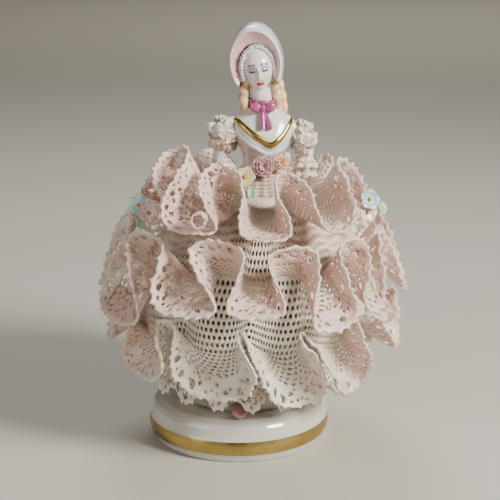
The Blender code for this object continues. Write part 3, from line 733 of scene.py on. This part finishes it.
def tubeAlong(points, radii, columns, rows, wobble=None, tint=None, squash=1.0):
    # a round limb through points, closed at both ends; wobble changes its radius
    def place(u, v):
        share = min(max((v - 0.03) / 0.94, 0.0), 1.0)
        here = Vector(smoothLine(points, share))
        ahead = Vector(smoothLine(points, min(share + 0.01, 1.0)))
        along = (ahead - Vector(smoothLine(points, max(share - 0.01, 0.0)))).normalized()
        across = along.cross(Vector((0, 1, 0))).normalized()
        over = across.cross(along)
        radius = smoothLine([(r,) for r in radii], share)[0]
        if v < 0.03:
            radius *= math.sqrt(max(1 - ((0.03 - v) / 0.03) ** 2, 0.0))
        if v > 0.97:
            radius *= math.sqrt(max(1 - ((v - 0.97) / 0.03) ** 2, 0.0))
        turn = 2 * math.pi * u
        if wobble:
            radius *= wobble(turn, share)
        return here + radius * (math.cos(turn) * across + squash * math.sin(turn) * over)

    return mappedGrid(columns, rows, place, tint)


armPoints = ((9.0, 0.4, 112.6), (14.2, 0.6, 106.5), (14.6, 0.4, 100.0), (13.6, -0.8, 95.0), (12.2, -2.6, 91.6))


def makeArms():
    shapes = []
    for side in (-1, 1):
        points = [(formSettings["waistX"] + side * x, y, z) for x, y, z in armPoints]
        shapes.append(tubeAlong(points, (2.9, 2.7, 2.5, 1.8, 1.3), 40, 60))
    finishPiece("arms", joined(shapes), [looks["whiteGlaze"]], ["figure"], "glazed_white")


shoeSettings = {"centre": (0.7, -25.2, 17.5), "half": (3.3, 4.9, 2.1), "tilt": 10}


def makeShoe():
    shape = bmesh.new()
    bmesh.ops.create_uvsphere(shape, u_segments=40, v_segments=24, radius=1.0)
    for vertex in shape.verts:
        vertex.co.x *= 1 - 0.16 * max(-vertex.co.y, 0)
    place = Matrix.Translation(shoeSettings["centre"])
    place = place @ Matrix.Rotation(math.radians(shoeSettings["tilt"]), 4, "X")
    place = place @ Matrix.Diagonal((*shoeSettings["half"], 1))
    bmesh.ops.transform(shape, matrix=place, verts=shape.verts)
    finishPiece("shoeToe", shape, [looks["shoeGlaze"]], ["figure"], "mauve_glaze")


headSettings = {"centre": (7.0, -0.6, 132.6), "half": (5.6, 6.3, 8.0), "tilt": -8, "columns": 160, "rows": 120}
headTurn = Matrix.Rotation(math.radians(headSettings["tilt"]), 4, "Y")
headPlace = Matrix.Translation(headSettings["centre"]) @ headTurn

# A plain doll face on even proportions: eyes half way up, nose to a quarter, closed lids.
# Each row is a soft swelling or hollow: x, z, spread in x, spread in z, height
faceRelief = (
    (2.1, 0.1, 1.5, 1.0, -0.5), (2.1, -0.15, 1.0, 0.55, 0.42), (0.0, -1.1, 0.6, 1.7, 0.95),
    (0.0, -2.7, 0.8, 0.6, 0.7), (0.75, -3.0, 0.4, 0.4, 0.28), (0.0, -4.5, 1.1, 0.33, 0.32),
    (0.0, -5.15, 0.9, 0.33, 0.36), (0.0, -4.83, 1.2, 0.11, -0.16), (0.0, -5.8, 1.0, 0.3, -0.16),
    (0.0, -6.8, 1.4, 0.9, 0.6), (3.0, -2.6, 1.4, 1.6, 0.28), (2.0, 1.6, 1.6, 0.5, 0.22),
)


def makeHead():
    half = headSettings["half"]

    def place(u, v):
        s = 2 * u - 1
        turn = math.pi * (0.35 * s + 0.65 * s ** 3)
        rise = math.pi * (v - 0.5)
        x, y, z = math.cos(rise) * math.sin(turn), -math.cos(rise) * math.cos(turn), math.sin(rise)
        narrow = 1 - 0.24 * max(-z, 0) ** 1.5
        point = Vector((half[0] * x * narrow, half[1] * y * narrow, half[2] * z))
        if y < 0:
            push = 0.0
            for centreX, centreZ, spreadX, spreadZ, amount in faceRelief:
                push += amount * hill(abs(point.x), point.z, centreX, centreZ, spreadX, spreadZ)
            point.y -= push * ease(0.0, 0.5, -y)
        return point

    shape = mappedGrid(headSettings["columns"], headSettings["rows"], place)
    paints = {name: shape.verts.layers.float.new(name) for name, colour in facePaints}
    for vertex in shape.verts:
        x, y, z = abs(vertex.co.x), vertex.co.y, vertex.co.z
        if y > 0:
            continue
        browLine = 1.95 - 0.2 * (x - 2.1) ** 2 - 0.08 * (x - 2.1)
        brow = ease(0.46, 0.22, abs(z - browLine)) * ease(0.8, 1.1, x) * ease(3.7, 3.0, x)
        lashLine = -0.42 + 0.14 * (x - 2.1) ** 2
        lash = ease(0.42, 0.2, abs(z - lashLine)) * ease(0.95, 1.25, x) * ease(3.35, 3.0, x)
        lipTop = -4.1 - 0.28 * x + 0.16 * math.cos(min(x, 0.6) * 5.2) * -1
        lipLow = -5.5 + 0.5 * (x / 1.3) ** 2
        lip = ease(0.06, -0.04, z - lipTop) * ease(0.06, -0.04, lipLow - z) * ease(1.4, 1.2, x)
        vertex[paints["browPaint"]] = 0.9 * brow
        vertex[paints["lashPaint"]] = 0.95 * lash
        vertex[paints["lidPaint"]] = min(1.25 * hill(x, z, 2.15, 0.4, 1.3, 0.8), 1.0)
        vertex[paints["lipPaint"]] = 1.0 * lip
        vertex[paints["cheekPaint"]] = 0.35 * hill(x, z, 3.2, -2.6, 1.5, 1.4)
    bmesh.ops.transform(shape, matrix=headPlace, verts=shape.verts)
    finishPiece("head", shape, [faceGlaze], ["figure"], "glazed_white")


ringletPoints = (
    ((2.9, -0.2, 131.6), (2.3, -0.2, 127.0), (2.0, -0.2, 122.5), (2.5, -0.7, 117.4)),
    ((3.6, 2.4, 131.0), (2.7, 2.5, 126.0), (2.4, 2.4, 121.5), (2.3, 1.9, 117.3)),
    ((12.0, 0.2, 132.0), (13.0, 0.3, 127.5), (13.7, 0.2, 122.5), (14.2, -0.5, 117.2)),
    ((13.2, 2.4, 131.5), (14.4, 2.4, 126.5), (15.3, 2.0, 121.5), (16.1, 1.1, 116.9)),
)


def makeHair():
    shapes = []
    for number, points in enumerate(ringletPoints):
        side = -1 if number < 2 else 1

        def wobble(turn, share, side=side):
            curl = math.sin(2 * math.pi * share * 4.0 + side * turn)
            return 1.0 + 0.08 * curl

        # painted shade: darker in the grooves of the curls and down the outer side of each ringlet; the tips are
        # darker too
        def tint(u, v, side=side):
            curl = math.sin(2 * math.pi * v * 4.0 + side * 2 * math.pi * u)
            edge = max(math.cos(2 * math.pi * u) * side, 0.0)
            return min(0.22 - 0.22 * curl + 0.4 * edge ** 2 + 0.4 * ease(0.85, 1.0, v), 1.0)

        shapes.append(tubeAlong(points, (1.3, 1.5, 1.7, 1.35), 28, 84, wobble, tint))
    half = (6.3, 6.4, 7.6)

    def capPlace(u, v):
        turn, rise = 2 * math.pi * u, math.pi * (v - 0.5)
        x, y, z = math.cos(rise) * math.sin(turn), -math.cos(rise) * math.cos(turn), math.sin(rise)
        lock = 1 + 0.018 * math.sin(turn * 22 + 3 * math.sin(rise * 3))
        return headPlace @ Vector((half[0] * x * lock, 2.3 + half[1] * y * lock, 0.1 + half[2] * z))

    shapes.append(mappedGrid(132, 40, capPlace, lambda u, v: 0.08 + 0.08 * math.sin(2 * math.pi * u * 22)))
    finishPiece("hairAndRinglets", joined(shapes), [looks["hairGlaze"]], ["figure"], "peach_glaze")


makeSkirtForm()
makeTorso()
makeArms()
makeShoe()
makeHead()
makeHair()
print("figure made")


# The bonnet and its frill

bonnetPlace = Matrix.Translation((6.4, 0.0, 134.8)) @ Matrix.Rotation(math.radians(-7), 4, "Y")
bonnetPlace = bonnetPlace @ Matrix.Rotation(math.radians(-6), 4, "Z")
bonnetSettings = {
    "outside": ((-4.6, 8.7, 11.2), (-3.6, 9.1, 12.1), (-1.0, 9.15, 12.9), (3.5, 9.0, 13.2), (7.0, 7.3, 11.1),
                (8.8, 4.6, 7.4), (9.2, 2.2, 3.6), (9.3, 0.05, 0.08)),
    "lining": ((-4.75, 8.6, 11.1), (-4.4, 8.2, 10.6), (-3.6, 7.5, 9.4), (-2.9, 6.8, 8.1), (-2.3, 5.9, 6.6)),
    "low": -38.0,
}


def bonnetPoint(sections, u, v, pleat=0.0):
    depth, halfX, halfZ = smoothLine(sections, v)
    low = math.radians(bonnetSettings["low"])
    turn = mix(low, math.pi - low, u)
    fold = 1 + pleat * math.sin(60 * turn)
    return bonnetPlace @ Vector((halfX * math.cos(turn) * fold, depth, halfZ * math.sin(turn) * fold))


def makeBonnet():
    b = bonnetSettings

    def outerTint(u, v):
        return 0.55 * ease(0.25, 0.0, v) + 0.3 * max(math.sin(u * 9.0), 0.0) ** 2

    outside = mappedGrid(90, 52, lambda u, v: bonnetPoint(b["outside"], u, v), outerTint)
    finishPiece("bonnet", outside, [looks["pearlGlaze"], looks["pinkGlaze"]], ["bonnet"], "bonnet_glaze",
                0.9, -1.0, 1)
    lining = mappedGrid(180, 16, lambda u, v: bonnetPoint(b["lining"], u, v, 0.006 * math.sin(math.pi * v)),
                        lambda u, v: 0.9 * ease(0.14, 0.0, v))
    finishPiece("bonnetLining", lining, [looks["pinkGlaze"]], ["bonnet"], "bonnet_glaze", 0.5)

    def frillPlace(u, v):
        # a bumpy row of pleats that lies on the brow, from cheek to cheek
        turn = mix(math.radians(-24), math.pi - math.radians(-24), u)
        swell = math.sin(math.pi * v)
        bump = 0.16 * swell * math.sin(2 * math.pi * u * 34 + 2.5 * math.sin(11 * u))
        bump += 0.55 * noise.noise(Vector((u * 75, v * 2.5, 0)))
        halfX, halfZ = mix(6.4, 5.1, v) + bump, mix(8.4, 7.15, v) + bump
        depth = mix(-1.9, -3.3, v) - 0.8 * swell - bump
        return headPlace @ Vector((halfX * math.cos(turn), depth, halfZ * math.sin(turn)))

    frill = mappedGrid(420, 8, frillPlace, lambda u, v: 0.15)
    finishPiece("bonnetFrill", frill, [looks["pearlGlaze"]], ["bonnet"], "bonnet_glaze", 0.4)


makeBonnet()
print("bonnet made")


# The choker and its bow

bowSettings = {"middle": (8.5, -5.5, 119.8), "lobe": (2.3, 1.0, 1.9), "bandLow": 118.5, "bandHigh": 121.9}


def makeChoker():
    b = bowSettings

    def bandPlace(u, v):
        height = mix(b["bandLow"], b["bandHigh"], v)
        swell = 0.28 * math.sqrt(max(1 - (2 * v - 1) ** 2, 0.0))
        turn = 2 * math.pi * u
        radius = 3.95 + swell
        return Vector((mix(8.45, 8.25, v) + radius * math.sin(turn), mix(0, -0.1, v) - radius * math.cos(turn),
                       height))

    band = mappedGrid(64, 10, bandPlace)
    finishPiece("chokerBand", band, [looks["ribbonGlaze"]], ["choker_bow"], "mauve_glaze", 0.35, 1.0)
    shapes = []
    for side in (-1, 1):
        def lobePlace(u, v, side=side):
            turn, rise = 2 * math.pi * u, math.pi * (v - 0.5)
            x, y, z = math.sin(rise), -math.cos(rise) * math.cos(turn), math.cos(rise) * math.sin(turn)
            pinch = mix(0.42, 1.0, ease(-1.0, 0.1, x))
            crease = 1 - 0.28 * math.exp(-(z / 0.25) ** 2) * ease(0.6, -0.8, x) * (y < 0)
            return Vector(b["middle"]) + Vector((side * (2.15 + b["lobe"][0] * x), b["lobe"][1] * y * crease,
                                                 b["lobe"][2] * z * pinch + 0.25 * x))
        # painted shade where each loop pinches into the knot
        shapes.append(mappedGrid(40, 30, lobePlace, lambda u, v: 0.5 * ease(0.4, 0.0, v)))
    knot = bmesh.new()
    bmesh.ops.create_uvsphere(knot, u_segments=28, v_segments=18, radius=1.0)
    place = Matrix.Translation((8.5, -5.9, 119.7)) @ Matrix.Diagonal((0.95, 0.9, 1.15, 1))
    bmesh.ops.transform(knot, matrix=place, verts=knot.verts)
    shapes.append(knot)
    for lean in (-0.3, 2.5):
        points = ((8.5, -5.8, 119.2), (8.5 + lean * 0.45, -6.6, 117.0), (8.55 + lean * 0.8, -7.5, 114.8),
                  (8.6 + lean * 1.05, -8.3, 112.7))
        shapes.append(tubeAlong(points, (0.6, 0.75, 0.9, 1.0), 20, 30, None, lambda u, v: 0.25 * v, 0.5))
    finishPiece("chokerBow", joined(shapes), [looks["ribbonGlaze"]], ["choker_bow"], "mauve_glaze")


makeChoker()
print("choker made")


# The lace sleeves, each a crumpled ball of ruffled rows, and the frills at the elbows

sleeves = {
    "leftSleeve": {"node": "left_sleeve", "centre": (-4.9, -0.2, 110.1), "half": (5.3, 4.8, 6.3), "seed": 2},
    "rightSleeve": {"node": "right_sleeve", "centre": (22.7, -0.2, 108.5), "half": (4.3, 4.6, 6.1), "seed": 6},
}
sleeveRows = ((-66, 0.9), (-46, 0.9), (-27, 0.85), (-8, 0.7), (11, 0.4), (30, 0.15), (50, 0.0), (72, 0.0))


def ruffle(place, waves, seed, pink, columns=132):
    # a strip of lace in waves, pierced by rows of small openings
    shape = mappedGrid(columns, 7, place, lambda u, v: pink * (0.4 + 0.6 * v))
    gone = []
    for face in shape.faces:
        column, row = face.index % columns, face.index // columns
        if (row in (2, 3) and column % 4 in (1, 2)) or (row == 5 and (column + seed) % 4 == 0):
            gone.append(face)
    bmesh.ops.delete(shape, geom=gone, context="FACES")
    return shape


def makeSleeve(name):
    f = sleeves[name]
    shapes = []

    def onBall(turn, rise, out):
        way = Vector((math.cos(rise) * math.sin(turn), -math.cos(rise) * math.cos(turn), math.sin(rise)))
        point = Vector([h * w * (1 + out) for h, w in zip(f["half"], way)])
        return Vector(f["centre"]) + point + noise.noise_vector(point * 0.4 + Vector((f["seed"], 0, 0))) * 1.0

    for number, (degrees, pink) in enumerate(sleeveRows):
        rise = math.radians(degrees)
        waves = round(4 + 8 * math.cos(rise))

        def place(u, v, rise=rise, waves=waves, number=number):
            turn = 2 * math.pi * u
            wave = math.sin(waves * turn + 1.8 * math.sin(2 * turn + number))
            swing = 0.9 / waves * v * math.cos(waves * turn + number)
            out = -0.1 + v * (0.14 + 0.1 * wave)
            lean = 0.25 * math.sin(turn + 2.1 * number)
            return onBall(turn + swing, rise + lean - 0.42 * v + 0.12 * v * wave, out)

        shapes.append(ruffle(place, waves, number, pink))
    finishPiece(name, joined(shapes), [looks["laceGlaze"]], [f["node"]], "lace_bisque", 0.42)
    # a ball of net inside the ruffles, its dark tint painted shade so that the openings of the lace look dark
    puff = mappedGrid(48, 28, lambda u, v: onBall(2 * math.pi * u, math.pi * (v - 0.5), -0.07),
                      lambda u, v: 0.3)
    finishPiece(name + "ShadePuff", puff, [netGlaze], [f["node"]], "lace_bisque")


for name in sleeves:
    makeSleeve(name)

cuffSettings = {"across": 14.4, "rows": ((101.6, 2.5, 2.2, 0.3), (98.4, 2.2, 2.4, 0.5))}


def makeCuff(name, side):
    shapes = []
    for number, (height, radius, flare, pink) in enumerate(cuffSettings["rows"]):
        def place(u, v, height=height, radius=radius, flare=flare, number=number):
            turn = 2 * math.pi * u
            wave = math.sin(7 * turn + math.sin(2 * turn + number))
            reach = radius + v * (flare + 0.6 * wave)
            drop = 3.0 * v + 0.3 * v * math.cos(7 * turn)
            across = cuffSettings["across"] - 0.12 * (102.0 - height)
            return Vector((formSettings["waistX"] + side * across + reach * math.sin(turn),
                           -0.2 - 0.1 * (102.0 - height) - reach * math.cos(turn), height - drop))
        shapes.append(ruffle(place, 9, number, pink, 108))
    finishPiece(name, joined(shapes), [looks["laceGlaze"]], ["figure"], "lace_bisque", 0.45)


makeCuff("leftCuff", -1)
makeCuff("rightCuff", 1)
print("sleeves made")


# Hand-modelled flowers and leaves

def facing(outward):
    return Vector(outward).normalized().to_track_quat("Z", "Y").to_matrix().to_4x4()


def petal(radius, width, cup, curl, seed):
    # one cupped petal that starts at the middle and opens along +X
    def place(u, v):
        along = v
        spread = math.sqrt(max(1 - ((along - 0.58) / (0.58 if along < 0.58 else 0.44)) ** 2, 0.0))
        side = (2 * u - 1)
        x = radius * (along - 0.12 * along * side * side)
        y = width * 0.5 * spread * side
        lift = cup * along ** 1.6 + 0.35 * cup * side * side * along - curl * ease(0.7, 1.0, along)
        ripple = 0.12 * noise.noise(Vector((x * 0.9, y * 0.9, seed))) * along
        return Vector((x, y, lift + ripple))
    return mappedGrid(14, 12, place, lambda u, v: ease(0.55, 0.0, v))


def flowerShapes(centre, outward, radius, rings, spin=0.0):
    # rings: petals, share of the radius, cup, curl
    shapes = []
    for level, (count, share, cup, curl) in enumerate(rings):
        for number in range(count):
            shape = petal(radius * share, radius * share * 5.0 / count, cup, curl, number + 7 * level)
            turn = Matrix.Rotation(spin + 2 * math.pi * (number + 0.5 * (level % 2)) / count, 4, "Z")
            lift = Matrix.Translation((0, 0, 0.35 * level - 0.2))
            place = Matrix.Translation(centre) @ facing(outward) @ lift @ turn
            bmesh.ops.transform(shape, matrix=place, verts=shape.verts)
            shapes.append(shape)
    return shapes


def bud(centre, outward, radius, height):
    shape = bmesh.new()
    bmesh.ops.create_uvsphere(shape, u_segments=20, v_segments=12, radius=1.0)
    for vertex in shape.verts:
        vertex.co *= 1 + 0.1 * math.sin(9 * math.atan2(vertex.co.y, vertex.co.x))
    place = Matrix.Translation(centre) @ facing(outward) @ Matrix.Translation((0, 0, height))
    place = place @ Matrix.Diagonal((radius, radius, radius * 0.75, 1))
    bmesh.ops.transform(shape, matrix=place, verts=shape.verts)
    return shape


def leafShape(centre, outward, length, width, spin=0.0):
    def place(u, v):
        share, side = 2 * v - 1, 2 * u - 1
        half = width / 2 * math.sqrt(max(1 - share * share, 0.0)) * (1 + 0.08 * math.sin(22 * share))
        vein = 0.16 * math.exp(-(side / 0.14) ** 2) + 0.07 * math.sin(15 * share + 7 * abs(side))
        return Vector((half * side, share * length / 2, 0.35 - 0.5 * share * share + 0.35 * side * side - vein))
    shape = mappedGrid(24, 32, place, lambda u, v: 0.8 * ease(0.5, 1.0, abs(2 * u - 1)))
    place = Matrix.Translation(centre) @ facing(outward) @ Matrix.Rotation(spin, 4, "Z")
    bmesh.ops.transform(shape, matrix=place, verts=shape.verts)
    return shape


def outwardAt(azimuth, rise):
    a = math.radians(azimuth)
    return Vector((math.sin(a), -math.cos(a), rise))


roseRings = ((5, 1.0, 1.3, 0.5), (4, 0.7, 1.5, 0.2), (3, 0.42, 1.5, 0.0))
openRings = ((5, 1.0, 0.9, 0.3),)
blooms = (
    ("mauveRose", "mauve_rose", (8.9, -9.8, 100.2), (0, -1, 0.3), 4.1, roseRings, "mauveGlaze", "mauve_glaze"),
    ("peachRose", "peach_rose", (14.4, -8.4, 101.2), (0.3, -1, 0.2), 2.9, roseRings, "peachGlaze", "peach_glaze"),
    ("yellowFlower", "yellow_flower", (2.4, -11.1, 96.8), (-0.2, -1, 0.5), 3.7, openRings, "yellowGlaze",
     "yellow_glaze"),
    ("leftHipFlower", "left_hip_flower", (-33.4, -21.4, 89.3), outwardAt(-26, 0.35), 3.7, openRings, "blueGlaze",
     "blue_glaze"),
    ("leftHipBloom", "left_hip_flower", (-29.7, -24.0, 87.2), outwardAt(-18, 0.3), 3.6, openRings, "roseGlaze",
     "blue_glaze"),
    ("rightHipFlower", "right_hip_flower", (44.4, -19.2, 90.8), outwardAt(24, 0.4), 3.8, openRings, "blueGlaze",
     "blue_glaze"),
    ("rightHipBloom", "right_hip_bloom", (43.8, -19.6, 86.4), outwardAt(26, 0.3), 3.6, openRings, "roseGlaze",
     "blue_glaze"),
)
leaves = (
    ("waistLeaf", "waist_leaf", (4.6, -14.4, 91.6), (0, -1, 0.5), 4.2, 2.9),
    ("leftHipLeaf", "left_hip_leaf", (-32.4, -21.6, 83.6), outwardAt(-26, 0.5), 4.8, 3.5),
    ("rightHipLeaf", "right_hip_leaf", (49.0, -14.2, 86.8), outwardAt(40, 0.5), 4.6, 3.4),
)
for name, node, centre, outward, radius, rings, look, slot in blooms:
    finishPiece(name, joined(flowerShapes(centre, outward, radius, rings)), [looks[look]], [node], slot, 0.4)
    if rings is openRings:
        middle = bud(centre, outward, radius * 0.2, 0.5)
        finishPiece(name + "Middle", middle, [looks["orangeGlaze"]], [node], slot)
for name, node, centre, outward, length, width in leaves:
    finishPiece(name, leafShape(centre, outward, length, width), [looks["leafGlaze"]], [node], "green_glaze",
                0.5)
print("flowers made")


# The small rolled curl of lace in the fold of the upper flounce

def makeCurl():
    f = flounces["upper"]
    place = 2.08
    facts = (*edgePoint(f["turns"], place), jointAzimuth(f["turns"], place))
    centre = sweep(f, facts, 0.92) + Vector((-2.0, 0, 4.2))

    def curlPlace(u, v):
        turn = 2 * math.pi * u * 1.15
        radius = 2.45 - 0.35 * u + 0.15 * math.sin(6 * turn) * v
        return Vector((radius * math.cos(turn), radius * math.sin(turn), mix(-2.5, 2.5, v)))

    shape = mappedGrid(90, 14, curlPlace, lambda u, v: 0.9)
    turn = Vector((-0.1, -1, 0.1)).normalized().to_track_quat("Z", "Y").to_matrix().to_4x4()
    bmesh.ops.transform(shape, matrix=Matrix.Translation(centre) @ turn, verts=shape.verts)
    finishPiece("laceCurl", shape, [looks["laceGlaze"]], ["lace_curl"], "lace_bisque", 0.6)


makeCurl()


# Floor, light and camera

stageSettings = {"floor": "#bdb9af", "wall": "#b3afa6", "worldStrength": 0.19}
cameraSettings = {"target": (4.12, 0.0, 67.985), "distance": 500.0, "elevation": 15.12, "lens": 101.55}
# name, place, aim, size, watts, colour
lamps = (
    ("keyWindow", (600, -450, 520), (0, 0, 70), 300, 15.8, "#fff9f2"),
    ("fillLeft", (-560, -420, 300), (0, 0, 60), 500, 1.6, "#fff8f2"),
    ("backTop", (-60, 420, 620), (0, 0, 70), 360, 2.4, "#ffffff"),
    ("farFloor", (200, 1500, 900), (0, 2300, 0), 1500, 7.0, "#fff8f0"),
)


def makeStage():
    shape = bmesh.new()
    bmesh.ops.create_grid(shape, x_segments=1, y_segments=1, size=9.0)
    mesh = bpy.data.meshes.new("floor")
    shape.to_mesh(mesh)
    shape.free()
    floorLook = bpy.data.materials.new("paleFloor")
    floorLook.use_nodes = True
    floorShader = floorLook.node_tree.nodes["Principled BSDF"]
    floorShader.inputs["Base Color"].default_value = hexColour(stageSettings["floor"])
    floorShader.inputs["Roughness"].default_value = 0.7
    mesh.materials.append(floorLook)
    floor = bpy.data.objects.new("floor", mesh)
    bpy.context.collection.objects.link(floor)
    world = bpy.data.worlds.new("softRoom")
    world.use_nodes = True
    backdrop = world.node_tree.nodes["Background"]
    backdrop.inputs["Color"].default_value = hexColour(stageSettings["wall"])
    backdrop.inputs["Strength"].default_value = stageSettings["worldStrength"]
    bpy.context.scene.world = world
    for name, place, aim, size, watts, colour in lamps:
        light = bpy.data.lights.new(name, "AREA")
        light.shape = "DISK"
        light.size = size * mm
        light.energy = watts
        light.color = hexColour(colour)[:3]
        item = bpy.data.objects.new(name, light)
        item.location = Vector(place) * mm
        way = Vector(aim) * mm - item.location
        item.rotation_euler = way.to_track_quat("-Z", "Y").to_euler()
        bpy.context.collection.objects.link(item)


def makeCamera():
    c = cameraSettings
    data = bpy.data.cameras.new("camera")
    data.lens = c["lens"]
    data.sensor_width = 36.0
    data.sensor_fit = "HORIZONTAL"
    data.clip_start = 0.01
    camera = bpy.data.objects.new("camera", data)
    rise = math.radians(c["elevation"])
    target = Vector(c["target"])
    spot = target + c["distance"] * Vector((0, -math.cos(rise), math.sin(rise)))
    camera.location = spot * mm
    camera.rotation_euler = (target - spot).to_track_quat("-Z", "Y").to_euler()
    bpy.context.collection.objects.link(camera)
    bpy.context.scene.camera = camera


makeStage()
makeCamera()
print("stage, light and camera made")
